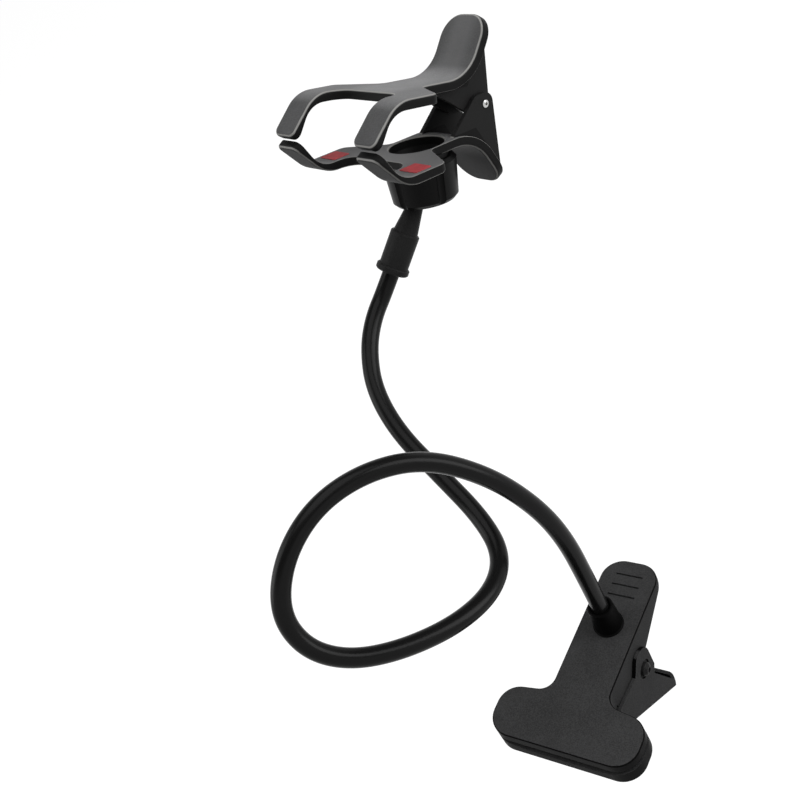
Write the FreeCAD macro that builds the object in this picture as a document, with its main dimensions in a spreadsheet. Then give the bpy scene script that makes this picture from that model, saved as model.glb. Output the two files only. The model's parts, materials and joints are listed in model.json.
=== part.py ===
"""Gooseneck tablet holder: a spring table clamp, a bendable arm and a ball-jointed spring clip."""
import FreeCAD, Part
import math
import os
import re

import Sketcher
from FreeCAD import Placement, Rotation, Vector

# Driving dimensions, in millimetres and degrees.
DIMENSIONS = {
    # Table clamp, measured from a line just behind its front edge and from its upper jaw's top face.
    "head_width": 80.0,
    "head_nose": 0.85,
    "head_depth": 25.5,
    "head_round": 12.3,
    "head_heel": 11.3,
    "neck_end": 29.0,
    "neck_round": 8.0,
    "shaft_width": 31.2,
    "clamp_length": 111.5,
    "rear_round": 11.5,
    "shell_wall": 2.6,
    "head_rim": 5.5,
    "rim_slope": 1.5,
    "neck_skirt": 12.0,
    "skirt_depth": 17.5,
    "skirt_corner": 73.5,
    "rear_lip": 3.2,
    "mouth_gap": 2.6,
    "mount_setback": 15.0,
    "ear_gap": 0.4,
    "ear_wall": 1.8,
    "ear_half": 8.5,
    "ear_front": 3.0,
    "ear_ramp": 9.5,
    "ear_rise": 13.8,
    "ear_round": 4.0,
    "ear_heel": 9.0,
    "rim_fall": 2.7,
    "lug_reach": 7.0,
    "floor_rise": 2.8,
    "jaw_front": 9.0,
    "jaw_bend": 19.9,
    "foot_round": 2.0,
    "mouth_dip": 2.6,
    "dip_half": 33.0,
    "dip_slope": 14.0,
    "lever_angle": 39.8,
    "lever_reach": 78.5,
    "lever_lip": 6.9,
    "lever_round": 5.0,
    "rim_place": 5.4,
    "rim_drop": 13.1,
    "rim_setback": 3.5,
    "rim_lip": 4.6,
    "clamp_pivot": 63.0,
    "pivot_depth": 21.5,
    "pin_radius": 2.5,
    "pin_slack": 0.08,
    "rivet_radius": 3.7,
    "rivet_height": 3.4,
    "rivet_recess": 5.2,
    "recess_depth": 0.9,
    "rib_thick": 2.0,
    "rib_spacing": 22.0,
    "pad_thick": 2.4,
    "pad_parting": 0.4,
    "pad_inset": 4.5,
    "groove_count": 3,
    "groove_pitch": 6.4,
    "groove_half": 7.6,
    "groove_width": 1.0,
    "groove_depth": 1.2,
    "groove_start": 89.9,
    # Boss that takes the arm.
    "boss_place": 72.2,
    "boss_height": 17.0,
    "boss_base": 7.5,
    "boss_top": 6.7,
    "boss_foot": 8.1,
    "foot_height": 0.7,
    "boss_under": 6.0,
    "arm_slack": 0.2,
    "edge_break": 0.6,
    "top_round": 0.8,
    # Bendable arm and its end fittings.
    "arm_diameter": 9.0,
    "bore_radius": 1.8,
    "spigot_length": 9.0,
    "collar_thick": 2.0,
    "stud_radius": 3.0,
    "stud_length": 12.0,
    "stud_proud": 1.0,
    "collar_step": 0.1,
    "nut_width": 10.0,
    "nut_height": 5.0,
    # Neck between the arm and the ball.
    "sleeve_radius": 7.6,
    "sleeve_length": 21.5,
    "flange_radius": 8.7,
    "flange_thick": 3.4,
    "arm_insert": 10.0,
    "swivel_slack": 0.05,
    "stem_foot": 6.4,
    "stem_neck": 4.1,
    "stem_land": 2.0,
    "ball_radius": 10.0,
    "ball_reach": 48.0,
    # Spring clip, measured from the centre of its ring on the lower plate's top face.
    "plate_thick": 4.8,
    "finger_inner": 23.0,
    "finger_outer": 40.0,
    "crotch_place": 24.0,
    "crotch_round": 8.0,
    "shoulder_place": 16.0,
    "shoulder_round": 5.0,
    "neck_place": 4.0,
    "paddle_half": 15.4,
    "paddle_round": 12.0,
    "hook_knee": 42.3,
    "hook_rise": 15.7,
    "hook_angle": 60.0,
    "hook_bend": 13.0,
    "tip_round": 4.0,
    "outer_rim": 1.6,
    "inner_rim": 0.5,
    "paddle_knee": 28.3,
    "paddle_run": 34.5,
    "paddle_angle": 62.0,
    "paddle_bend": 26.0,
    "clip_pivot": 37.0,
    "pivot_rise": 10.0,
    "cheek_half": 13.2,
    "cheek_wall": 2.5,
    "cheek_gap": 0.4,
    "cheek_radius": 5.5,
    "cheek_flat": 1.0,
    "cheek_front": 10.3,
    "web_front": 2.0,
    "cheek_run": 27.0,
    "axle_radius": 1.3,
    "axle_head": 1.9,
    "axle_proud": 0.9,
    "tip_gap": 0.4,
    "grip_width": 12.0,
    "grip_length": 10.0,
    "grip_round": 0.8,
    "grip_thick": 1.2,
    "grip_sink": 0.9,
    "grip_place": 27.5,
    # Ball socket under the clip's ring and the nut that closes it.
    "ring_radius": 14.0,
    "ring_edge": 14.8,
    "ring_depth": 4.6,
    "ball_drop": 20.0,
    "collet_radius": 14.8,
    "collet_lip": 12.2,
    "collet_length": 25.5,
    "collet_taper": 15.5,
    "slot_width": 1.6,
    "slot_top": 12.0,
    "joint_gap": 0.3,
    "knob_radius": 18.6,
    "knob_foot": 16.8,
    "knob_top": 7.0,
    "knob_base": 28.7,
    "knob_mouth": 13.0,
    "knob_edge": 1.8,
    "lobe_count": 5,
    "lobe_start": -10.0,
    "lobe_radius": 2.4,
    "lobe_depth": 1.7,
    # Attitude of the clip on its ball.
    "clip_yaw": -17.2,
    "clip_tip": -19.6,
    "clip_roll": -4.8,
    # Torsion springs.
    "clamp_wire": 1.1,
    "clamp_coil": 6.0,
    "clamp_turns": 5,
    "clip_wire": 0.9,
    "clip_coil": 4.2,
    "clip_turns": 4,
    "coil_spacing": 0.5,
    "leg_lean": 22.0,
}

# Arm's route: points from the boss's foot (x, y, z), chosen by eye from one bend to the next.
ARM_ROUTE = [
    (0, 0, 40),
    (-1, 0, 76),
    (-6, -3, 104),
    (-16, -11, 134),
    (-31, -25, 160),
    (-45, -45, 173),
    (-57, -68, 176),
    (-65, -90, 167),
    (-67, -107, 150),
    (-60, -112, 132),
    (-48, -106, 117),
    (-34, -90, 105),
    (-21, -66, 94),
    (-16, -42, 87),
    (-22, -21, 85),
    (-39, -6, 90),
    (-64, 6, 103),
    (-88, 17, 118),
    (-104, 31, 132),
    (-111, 47, 143.5),
    (-113, 62, 151),
    (-110.6, 77, 157.5),
]
# Direction in which the arm enters the neck, pointing at the ball.
NECK_DIRECTION = Vector(0.357, 0.660, 0.662)
# Share of a run that the arc at each of its ends may use.
ARC_SHARE = 0.45

# Planes of the sketches, seen from the side and upright from the front.
SIDE = Rotation(Vector(1, 1, 1), 120)
UPRIGHT = Rotation(Vector(1, 0, 0), 90)
ACROSS = Rotation(Vector(0, 1, 0), 90)
SIDES = {"right": 1, "left": -1}
# How close a corner is to count as found, and how far a cutting tool runs past a face.
NEAR = 0.02
OVERRUN = 1.0
# A bent plate's broad faces: greatest sideways share and least upright share of their normals.
FLAT = 0.05
STEEPEST = 0.4
# Angle between a coil's radius and its tangent.
RIGHT_ANGLE = 90.0
# Shares of a rivet head's radius and height at the corners of its hollow profile.
DISH_FLOOR = 0.3
DISH_RIM = 0.4
HEAD_CROWN = 0.6
HEAD_SIDE = 0.5

doc = FreeCAD.newDocument("gooseneck_tablet_holder")
sheet = doc.addObject("Spreadsheet::Sheet", "Sheet")
for row, (alias, value) in enumerate(DIMENSIONS.items(), start=1):
    sheet.set(f"A{row}", alias)
    sheet.set(f"B{row}", str(value))
    sheet.setAlias(f"B{row}", alias)
doc.recompute()

nodes = []


def cells(text):
    """Expression for the document: every dimension in the text gets the sheet's name."""
    return re.sub(r"[a-z]+(?:_[a-z]+)+", r"Sheet.\g<0>", str(text))


def size(text):
    """Value of an expression of dimensions."""
    return float(sheet.evalExpression(cells(text)))


def bind(feature, **properties):
    """Tie properties of a feature to expressions of dimensions."""
    for name, text in properties.items():
        feature.setExpression(name, cells(text))


def outline(name, plane, corners):
    """Closed sketch whose corners are tied to expressions."""
    sketch = doc.addObject("Sketcher::SketchObject", name)
    sketch.Placement = Placement(Vector(), plane)
    points = [Vector(size(across), size(up), 0) for across, up in corners]
    for index, point in enumerate(points):
        sketch.addGeometry(Part.LineSegment(point, points[(index + 1) % len(points)]))
    for index in range(len(points)):
        following = (index + 1) % len(points)
        sketch.addConstraint(Sketcher.Constraint("Coincident", index, 2, following, 1))
    for index, corner in enumerate(corners):
        for kind, text, value in zip(("DistanceX", "DistanceY"), corner, points[index]):
            rule = sketch.addConstraint(Sketcher.Constraint(kind, -1, 1, index, 1, value))
            sketch.setExpression(f"Constraints[{rule}]", cells(text))
    return sketch


def prism(name, plane, corners, forward, back="0"):
    """Outline pushed along its plane's normal, forward and back."""
    solid = doc.addObject("Part::Extrusion", name)
    solid.Base = outline(f"{name}_outline", plane, corners)
    solid.DirMode = "Normal"
    solid.Solid = True
    bind(solid, LengthFwd=forward, LengthRev=back)
    doc.recompute()
    return solid


def turned(name, corners):
    """Half profile (radius, height) turned about the upright axis."""
    solid = doc.addObject("Part::Revolution", name)
    solid.Source = outline(f"{name}_profile", UPRIGHT, corners)
    solid.Axis = Vector(0, 0, 1)
    solid.Angle = 360
    solid.Solid = True
    doc.recompute()
    return solid


def drum(name, radius, length, place):
    """Cylinder tied to expressions."""
    solid = doc.addObject("Part::Cylinder", name)
    bind(solid, Radius=radius, Height=length)
    solid.Placement = place
    return solid


def block(name, length, width, height, place):
    """Box tied to expressions."""
    solid = doc.addObject("Part::Box", name)
    bind(solid, Length=length, Width=width, Height=height)
    solid.Placement = Placement(place, Rotation())
    return solid


def joined(name, solids):
    """Union of several solids."""
    result = doc.addObject("Part::MultiFuse", name)
    result.Shapes = solids
    result.Refine = True
    doc.recompute()
    return result


def shared(name, first, second):
    """Common volume of two solids."""
    result = doc.addObject("Part::MultiCommon", name)
    result.Shapes = [first, second]
    doc.recompute()
    return result


def less(name, base, tools):
    """Solid with one or more tools taken away."""
    result = doc.addObject("Part::Cut", name)
    result.Base = base
    result.Tool = tools[0] if len(tools) == 1 else joined(f"{name}_tools", tools)
    result.Refine = True
    doc.recompute()
    return result


def rounded(name, base, picks):
    """Fillets on the edges for which a pick's test holds, each pick with its radius."""
    result = doc.addObject("Part::Fillet", name)
    result.Base = base
    chosen = []
    for index, edge in enumerate(base.Shape.Edges, start=1):
        for test, radius in picks:
            if test(edge):
                chosen.append((index, radius, radius))
                break
    result.Edges = chosen
    doc.recompute()
    return result


def along_z(across, depth):
    """Test for an upright edge at a place in plan."""
    def test(edge):
        return all(abs(v.X - across) < NEAR and abs(v.Y - depth) < NEAR for v in edge.Vertexes)
    return test


def along_x(depth, height):
    """Test for a crosswise edge at a place in side view."""
    def test(edge):
        return all(abs(v.Y - depth) < NEAR and abs(v.Z - height) < NEAR for v in edge.Vertexes)
    return test


def at_level(height):
    """Test for an edge that lies flat at a height."""
    def test(edge):
        return all(abs(v.Z - height) < NEAR for v in edge.Vertexes)
    return test


def plate_rim(shape, way):
    """Test for the sharp edges round a bent plate's inner face (way 1) or outer face (way -1)."""
    def test(edge):
        middle = edge.valueAt((edge.FirstParameter + edge.LastParameter) / 2)
        normals = [face.normalAt(*face.Surface.parameter(middle))
                   for face in shape.ancestorsOfType(edge, Part.Face)]
        broad = [abs(n.x) < FLAT and n.z * way > STEEPEST and n.y * way > -FLAT for n in normals]
        return sum(broad) == 1
    return test


def upright(edge):
    """Test for an edge that changes height."""
    return abs(edge.Vertexes[0].Z - edge.Vertexes[-1].Z) > NEAR


def mirrored_picks(corners):
    """Picks for upright edges on both sides from (across, depth, radius)."""
    picks = []
    for across, depth, radius in corners:
        for side in SIDES.values():
            picks.append((along_z(side * size(across), size(depth)), size(radius)))
    return picks


def node(label, feature, place):
    """Finished sub-part: its label names its file."""
    feature.Label = label
    feature.Placement = place.multiply(feature.Placement)
    nodes.append(feature)
    return feature


def shape_node(label, shape, place):
    """Finished sub-part from a shape worked out in code."""
    feature = doc.addObject("Part::Feature", f"{label}_solid")
    feature.Shape = shape
    return node(label, feature, place)


# Frames of the clamp, the neck and the clip.
CLAMP_LEVEL = size("head_rim + mouth_gap / 2")
CLAMP = Placement(Vector(0, -size("mount_setback"), CLAMP_LEVEL), Rotation())
BOSS_FOOT = CLAMP.multVec(Vector(0, size("boss_place"), 0))
NECK_AXIS = Vector(NECK_DIRECTION).normalize()
ROUTE = [BOSS_FOOT + Vector(*point) for point in ARM_ROUTE]
NECK_BASE = ROUTE[-1] + NECK_AXIS * size("arm_insert")
NECK = Placement(NECK_BASE, Rotation(Vector(0, 0, 1), NECK_AXIS))
BALL_CENTRE = NECK_BASE + NECK_AXIS * size("ball_reach")
CLIP_TURN = (
    Rotation(Vector(0, 0, 1), size("clip_yaw"))
    .multiply(Rotation(Vector(1, 0, 0), size("clip_tip")))
    .multiply(Rotation(Vector(0, 1, 0), size("clip_roll")))
)
CLIP = Placement(BALL_CENTRE + CLIP_TURN.multVec(Vector(0, 0, size("ball_drop"))), CLIP_TURN)

# Lower edge of the clamp's lower jaw, bent down into its lever.
JAW_RIM = "(head_rim + mouth_gap)"
JAW_FRONT_LOW = f"({JAW_RIM} + jaw_front)"
LEVER_SINE = "sin(lever_angle * 1 deg)"
LEVER_COSINE = "cos(lever_angle * 1 deg)"
LEVER_DEPTH = f"(jaw_bend + lever_reach * {LEVER_COSINE})"
LEVER_DROP = f"({JAW_FRONT_LOW} + lever_reach * {LEVER_SINE})"
LEVER_TOP_DEPTH = f"({LEVER_DEPTH} + lever_lip * {LEVER_SINE})"
LEVER_TOP_DROP = f"({LEVER_DROP} - lever_lip * {LEVER_COSINE})"
RIM_END_DEPTH = f"({LEVER_DEPTH} - rim_setback * {LEVER_COSINE} + rim_lip * {LEVER_SINE})"
RIM_END_DROP = f"({LEVER_DROP} - rim_setback * {LEVER_SINE} - rim_lip * {LEVER_COSINE})"
# Far end of the floor inside the lever, one wall short of the lever's end.
ROOM_REACH = f"(lever_reach - ear_wall + floor_rise * {LEVER_SINE})"
ROOM_END_DEPTH = f"(jaw_bend + {ROOM_REACH} * {LEVER_COSINE})"
ROOM_END_DROP = f"({JAW_FRONT_LOW} - floor_rise + {ROOM_REACH} * {LEVER_SINE})"
LEVER_WIDTH = "(shaft_width / 2 + ear_gap + ear_wall)"


def jaw_prism(name, half_width, depth, back, length, rear_round):
    """Plan of a jaw: a wide rounded head that narrows in an S to a straight shaft."""
    corners = [
        ("head_width / 2", "-head_nose"),
        ("head_width / 2", "head_depth"),
        (half_width, "neck_end"),
        (half_width, length),
    ]
    left = [(f"-({across})", up) for across, up in reversed(corners)]
    raw = prism(name, Rotation(), corners + left, back, depth)
    rounds = ["head_round", "head_heel", "neck_round", rear_round]
    picks = mirrored_picks([(*corner, radius) for corner, radius in zip(corners, rounds)])
    return rounded(f"{name}_rounded", raw, picks)


def inset(name, solid, wall):
    """Solid shrunk evenly by a wall's thickness."""
    result = doc.addObject("Part::Offset", name)
    result.Source = solid
    result.Join = 2
    bind(result, Value=f"-({wall})")
    doc.recompute()
    return result


def clamp_pads():
    """Soft pads that line the two jaws' heads."""
    corners = [
        ("head_width / 2 - pad_inset", "pad_inset"),
        ("head_width / 2 - pad_inset", "head_depth - pad_inset / 2"),
    ]
    left = [(f"-({across})", up) for across, up in reversed(corners)]
    parting = "(head_rim + mouth_gap / 2)"
    for label, top in (
        ("clamp_upper_pad", f"{parting} - pad_parting / 2 - pad_thick"),
        ("clamp_lower_pad", f"{parting} + pad_parting / 2"),
    ):
        pad = prism(f"{label}_block", Rotation(), corners + left, f"-({top})", f"{top} + pad_thick")
        radius = "head_round - pad_inset"
        picks = mirrored_picks([(*corner, radius) for corner in corners])
        node(label, rounded(f"{label}_rounded", pad, picks), CLAMP.copy())


def ribs(name, back, top, front_low, back_low):
    """Three ribs that carry a pad inside a jaw's head, between a top level and a sloping floor."""
    solids = []
    for index in (-1, 0, 1):
        rib = prism(f"{name}_rib_{index + 2}", SIDE, [
            ("shell_wall / 2", f"-({top})"),
            (back, f"-({top})"),
            (back, f"-({back_low})"),
            ("shell_wall / 2", f"-({front_low})"),
        ], "rib_thick / 2", "rib_thick / 2")
        rib.Placement = Placement(Vector(index * size("rib_spacing"), 0, 0), Rotation())
        solids.append(rib)
    return solids


def clamp_upper_jaw():
    """Upper jaw: a shell with skirts, a grooved thumb rest and the arm's boss."""
    half = "shaft_width / 2"
    body = jaw_prism("upper_plan", half, "pivot_depth + lug_reach", "0", "clamp_length", "rear_round")
    body = rounded("upper_top", body, [(at_level(0), size("top_round"))])
    side = prism("upper_side", SIDE, [
        ("-2 * head_nose", OVERRUN),
        (f"clamp_length + {OVERRUN}", OVERRUN),
        (f"clamp_length + {OVERRUN}", "-rear_lip"),
        ("clamp_length - rear_lip", "-rear_lip"),
        ("skirt_corner", "-skirt_depth"),
        ("clamp_pivot + lug_reach", "-skirt_depth"),
        ("clamp_pivot + lug_reach / 2", "-pivot_depth - lug_reach"),
        ("clamp_pivot - lug_reach / 2", "-pivot_depth - lug_reach"),
        ("clamp_pivot - lug_reach", "-skirt_depth"),
        ("neck_end + neck_round", "-skirt_depth"),
        ("neck_end + neck_round - rim_slope", "-neck_skirt"),
        ("neck_end + rim_slope", "-neck_skirt"),
        ("head_depth - rim_slope", "-head_rim"),
        ("-2 * head_nose", "-head_rim"),
    ], "head_width", "head_width")
    shell = shared("upper_block", body, side)
    tall = jaw_prism("upper_tall", half, "2 * pivot_depth", "0", "clamp_length", "rear_round")
    cavity = inset("upper_cavity", tall, "shell_wall")
    shell = less("upper_shell", shell, [cavity])
    pad_seat = "head_rim + mouth_gap / 2 - pad_parting / 2 - pad_thick"
    pad_ribs = ribs("upper", "head_depth", "shell_wall / 2", pad_seat, pad_seat)
    boss = turned("boss", [
        ("0", "-boss_under"),
        ("boss_foot", "-boss_under"),
        ("boss_foot", "foot_height"),
        ("boss_base", "foot_height + edge_break"),
        ("boss_top", "boss_height - edge_break"),
        ("boss_top - edge_break", "boss_height"),
        ("0", "boss_height"),
    ])
    boss.Placement = Placement(Vector(0, size("boss_place"), 0), Rotation())
    solid = joined("upper_solid", [shell, boss] + pad_ribs)
    well = turned("boss_well", [
        ("0", f"-boss_under - {OVERRUN}"),
        ("stud_radius + arm_slack", f"-boss_under - {OVERRUN}"),
        ("stud_radius + arm_slack", "foot_height"),
        ("arm_diameter / 2 + arm_slack", "foot_height"),
        ("arm_diameter / 2 + arm_slack", "boss_height - edge_break"),
        (f"arm_diameter / 2 + arm_slack + edge_break + {OVERRUN}", f"boss_height + {OVERRUN}"),
        ("0", f"boss_height + {OVERRUN}"),
    ])
    well.Placement = boss.Placement
    tools = [well]
    for index in range(int(size("groove_count"))):
        depth = size("groove_start - groove_width / 2") + index * size("groove_pitch")
        corner = Vector(-size("groove_half"), depth, -size("groove_depth"))
        name = f"groove_{index + 1}"
        tools.append(block(name, "2 * groove_half", "groove_width", "2 * groove_depth", corner))
    tools.append(drum("upper_pivot", "pin_radius + pin_slack / 2", "2 * head_width", pivot_axis()))
    node("clamp_upper_jaw", less("upper_cut", solid, tools), CLAMP.copy())


def wings(name, inner, level):
    """Two blocks outside an inner width and below a level, one on each side."""
    pair = []
    for hand, side in SIDES.items():
        start = size(inner) if side > 0 else -size(inner) - size("head_width")
        corner = Vector(start, -size("2 * head_nose"), size(level) - size("head_width"))
        pair.append(block(f"{name}_wing_{hand}", "head_width", "clamp_length", "head_width", corner))
    return pair


def pivot_axis():
    """Crosswise axis of the clamp's pivot, from far to the left."""
    start = Vector(-size("head_width"), size("clamp_pivot"), -size("pivot_depth"))
    return Placement(start, ACROSS)


def clamp_lower_jaw():
    """Lower jaw: a deep shell with two ears outside the upper skirts and a lever that splays down."""
    depth = f"2 * {LEVER_DROP}"
    tall = jaw_prism("lower_plan", LEVER_WIDTH, depth, "shell_wall", LEVER_TOP_DEPTH, "lever_round")
    neck_rim = "(neck_skirt + ear_gap * 2)"
    side = prism("lower_side", SIDE, [
        ("-2 * head_nose", f"-{JAW_RIM}"),
        ("head_depth - rim_slope", f"-{JAW_RIM}"),
        ("neck_end + rim_slope", f"-{neck_rim}"),
        ("clamp_pivot - ear_ramp", f"-{neck_rim} - rim_fall"),
        ("clamp_pivot - ear_front", "ear_rise - pivot_depth"),
        ("clamp_pivot + ear_half", "ear_rise - pivot_depth"),
        ("clamp_pivot + ear_half", "-pivot_depth - ear_half"),
        ("clamp_pivot + rim_place", "-pivot_depth - rim_drop"),
        (RIM_END_DEPTH, f"-{RIM_END_DROP}"),
        (LEVER_TOP_DEPTH, f"-{LEVER_TOP_DROP}"),
        (LEVER_DEPTH, f"-{LEVER_DROP}"),
        ("jaw_bend", f"-{JAW_FRONT_LOW}"),
        ("-2 * head_nose", f"-{JAW_FRONT_LOW}"),
    ], "head_width", "head_width")

    def head_foot(edge):
        """Test for the lower outline of the head, outside the lever's walls."""
        outside = any(abs(v.X) > size(LEVER_WIDTH) + NEAR for v in edge.Vertexes)
        return outside and at_level(-size(JAW_FRONT_LOW))(edge)

    ear_top = size("ear_rise - pivot_depth")
    side = rounded("lower_side_rounded", side, [
        (along_x(size("clamp_pivot - ear_front"), ear_top), size("ear_round")),
        (along_x(size("clamp_pivot + ear_half"), ear_top), size("ear_heel")),
        (along_x(size("jaw_bend"), -size(JAW_FRONT_LOW)), size("neck_round")),
    ])
    room = prism("lower_room", SIDE, [
        ("-2 * head_nose", "head_width"),
        (f"{ROOM_END_DEPTH} + 2 * clamp_length * {LEVER_SINE}",
         f"2 * clamp_length * {LEVER_COSINE} - {ROOM_END_DROP}"),
        (ROOM_END_DEPTH, f"-{ROOM_END_DROP}"),
        ("jaw_bend", f"floor_rise - {JAW_FRONT_LOW}"),
        ("-2 * head_nose", f"floor_rise - {JAW_FRONT_LOW}"),
    ], "head_width", "head_width")
    block_wings = wings("lower_block", LEVER_WIDTH, f"-{JAW_FRONT_LOW}")
    cavity_wings = wings("lower_cavity", f"{LEVER_WIDTH} - ear_wall", f"floor_rise - {JAW_FRONT_LOW}")
    hollow = shared("lower_hollow", inset("lower_inset", tall, "ear_wall"), room)
    cavity = less("lower_cavity", hollow, cavity_wings)
    solid = less("lower_block", shared("lower_bar", tall, side), block_wings)
    solid = rounded("lower_soft", solid, [(head_foot, size("foot_round"))])
    shell = less("lower_shell", solid, [cavity])
    seat = "head_rim + mouth_gap / 2 + pad_parting / 2 + pad_thick"
    low = f"{JAW_FRONT_LOW} - floor_rise / 2"
    solid = joined("lower_solid", [shell] + ribs("lower", "jaw_bend", seat, low, low))
    dip = prism("mouth_dip", UPRIGHT, [
        ("dip_half", f"{OVERRUN} - {JAW_RIM}"),
        ("dip_half", f"-{JAW_RIM}"),
        ("dip_half - dip_slope", f"-{JAW_RIM} - mouth_dip"),
        ("dip_slope - dip_half", f"-{JAW_RIM} - mouth_dip"),
        ("-dip_half", f"-{JAW_RIM}"),
        ("-dip_half", f"{OVERRUN} - {JAW_RIM}"),
    ], "2 * head_nose", "ear_wall")
    tools = [dip, drum("lower_pivot", "pin_radius + pin_slack", "2 * head_width", pivot_axis())]
    for hand, side in SIDES.items():
        face = Vector(side * size(f"{LEVER_WIDTH} - recess_depth"), size("clamp_pivot"), -size("pivot_depth"))
        place = Placement(face, Rotation(Vector(0, 1, 0), 90 * side))
        tools.append(drum(f"lower_recess_{hand}", "rivet_recess", "2 * recess_depth", place))
    node("clamp_lower_jaw", less("lower_cut", solid, tools), CLAMP.copy())


def rivet(label, shank, head, grip, proud, place):
    """Headed pin across a hinge, hollow at each end."""
    corners = [
        ("0", f"{grip} - {proud}"),
        (f"{head} * {DISH_FLOOR}", f"{grip} - {proud}"),
        (f"{head} * {DISH_RIM}", f"{grip} + {proud}"),
        (f"{head} * {HEAD_CROWN}", f"{grip} + {proud}"),
        (head, f"{grip} + {proud} * {HEAD_SIDE}"),
        (head, grip),
        (shank, grip),
    ]
    lower = [(radius, f"-({height})") for radius, height in reversed(corners)]
    node(label, turned(f"{label}_turning", corners + lower), place)


def torsion_spring(label, coil, wire, turns, legs, place):
    """Coil about the crosswise axis whose two legs lean on two plates.

    Each leg is the plate's direction in side view and its distance from the axis.
    """
    lean = size("leg_lean")
    first, last = legs
    start = first[0] + lean + RIGHT_ANGLE
    sweep = (last[0] - lean - RIGHT_ANGLE - start) % 360 + 360 * turns
    pitch = 2 * wire + size("coil_spacing")
    rise = pitch * sweep / 360
    helix = Part.makeHelix(pitch, rise, coil)
    helix.translate(Vector(0, 0, -rise / 2))
    helix.rotate(Vector(), Vector(0, 0, 1), start)
    begin, finish = helix.Edges[0], helix.Edges[-1]
    reach = [
        (distance - wire - size("coil_spacing") - coil * math.cos(math.radians(lean)))
        / math.sin(math.radians(lean))
        for direction, distance in legs
    ]
    begin_point = begin.valueAt(begin.FirstParameter)
    begin_way = begin.tangentAt(begin.FirstParameter).normalize()
    finish_point = finish.valueAt(finish.LastParameter)
    finish_way = finish.tangentAt(finish.LastParameter).normalize()
    tip = begin_point - begin_way * reach[0]
    path = Part.Wire(
        [Part.makeLine(tip, begin_point)]
        + helix.Edges
        + [Part.makeLine(finish_point, finish_point + finish_way * reach[1])]
    )
    section = Part.Wire(Part.makeCircle(wire, tip, begin_way))
    shape = path.makePipeShell([section], True, True)
    turn = Placement(Vector(), SIDE)
    shape_node(label, shape, place.multiply(turn))


def clamp_hinge():
    """Pivot pin and closing spring of the clamp."""
    pivot = Vector(0, size("clamp_pivot"), -size("pivot_depth"))
    place = CLAMP.multiply(Placement(pivot, ACROSS))
    grip = f"({LEVER_WIDTH} - recess_depth + pin_slack)"
    rivet("clamp_pivot_pin", "pin_radius", "rivet_radius", grip, "rivet_height", place)
    lever = math.radians(size("lever_angle"))
    to_lever = (
        size("clamp_pivot - jaw_bend") * math.sin(lever)
        + size(f"{JAW_FRONT_LOW} - pivot_depth - floor_rise") * math.cos(lever)
    )
    legs = ((0.0, size("pivot_depth - shell_wall")), (-size("lever_angle"), to_lever))
    centre = CLAMP.multiply(Placement(pivot, Rotation()))
    turns = int(size("clamp_turns"))
    torsion_spring("clamp_spring", size("clamp_coil"), size("clamp_wire"), turns, legs, centre)


def arm_path(points):
    """Straight runs joined by tangent arcs as large as the runs allow."""
    edges = []
    here = points[0]
    radii = []
    for before, corner, after in zip(points, points[1:], points[2:]):
        into = (corner - before).normalize()
        out = (after - corner).normalize()
        turn = into.getAngle(out)
        reach = ARC_SHARE * min((corner - before).Length, (after - corner).Length)
        radius = reach / math.tan(turn / 2)
        radii.append(radius)
        arc_start = corner - into * reach
        arc_end = corner + out * reach
        inward = (out - into).normalize()
        middle = corner + inward * (radius / math.cos(turn / 2) - radius)
        edges.append(Part.LineSegment(here, arc_start).toShape())
        edges.append(Part.Arc(arc_start, middle, arc_end).toShape())
        here = arc_end
    edges.append(Part.LineSegment(here, points[-1]).toShape())
    return Part.Wire(edges), radii


def arm():
    """Bendable arm with its two threaded end fittings and the nut under the clamp."""
    start = BOSS_FOOT + Vector(0, 0, size("foot_height + collar_thick"))
    end = NECK_BASE + NECK_AXIS * size("arm_insert")
    path, radii = arm_path([start] + ROUTE + [end])
    radius = size("arm_diameter / 2")
    section = Part.Wire(Part.makeCircle(radius, start, Vector(0, 0, 1)))
    tube = path.makePipeShell([section], True, False)
    expected = math.pi * radius ** 2 * path.Length
    print(f"arm: {path.Length:.0f} mm long, radii {min(radii):.0f} to {max(radii):.0f} mm, "
          f"volume {tube.Volume / expected:.4f} of section times length")
    depth = size("spigot_length + arm_slack")
    hole = size("bore_radius")
    tube = tube.cut(Part.makeCylinder(hole, depth, start, Vector(0, 0, 1)))
    tube = tube.cut(Part.makeCylinder(hole, depth, end, -NECK_AXIS))
    shape_node("gooseneck", tube, Placement())

    lower_place = Placement(BOSS_FOOT + Vector(0, 0, size("foot_height")), Rotation())
    fitting("lower_fitting", "boss_under + foot_height + nut_height + stud_proud", lower_place)
    upper_place = Placement(end + NECK_AXIS * size("collar_thick"), Rotation(Vector(0, 0, 1), -NECK_AXIS))
    fitting("upper_fitting", "stud_length", upper_place)

    hexagon = doc.addObject("Part::Prism", "nut_hexagon")
    hexagon.Polygon = 6
    bind(hexagon, Circumradius="nut_width / 2 / cos(30 deg)", Height="nut_height")
    hole_place = Placement(Vector(0, 0, -OVERRUN), Rotation())
    hole = drum("nut_hole", "stud_radius", "2 * nut_height", hole_place)
    place = Placement(BOSS_FOOT - Vector(0, 0, size("boss_under + nut_height")), Rotation())
    node("clamp_nut", less("nut_cut", hexagon, [hole]), place)


def fitting(label, stud, place):
    """End fitting of the arm: a spigot in the arm's bore, a collar and a stud."""
    solid = turned(f"{label}_turning", [
        ("0", f"-({stud})"),
        ("stud_radius - edge_break", f"-({stud})"),
        ("stud_radius", f"edge_break - ({stud})"),
        ("stud_radius", "0"),
        ("arm_diameter / 2 - collar_step", "0"),
        ("arm_diameter / 2 - collar_step", "collar_thick"),
        ("bore_radius", "collar_thick"),
        ("bore_radius", "collar_thick + spigot_length"),
        ("0", "collar_thick + spigot_length"),
    ])
    node(label, solid, place)


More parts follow.
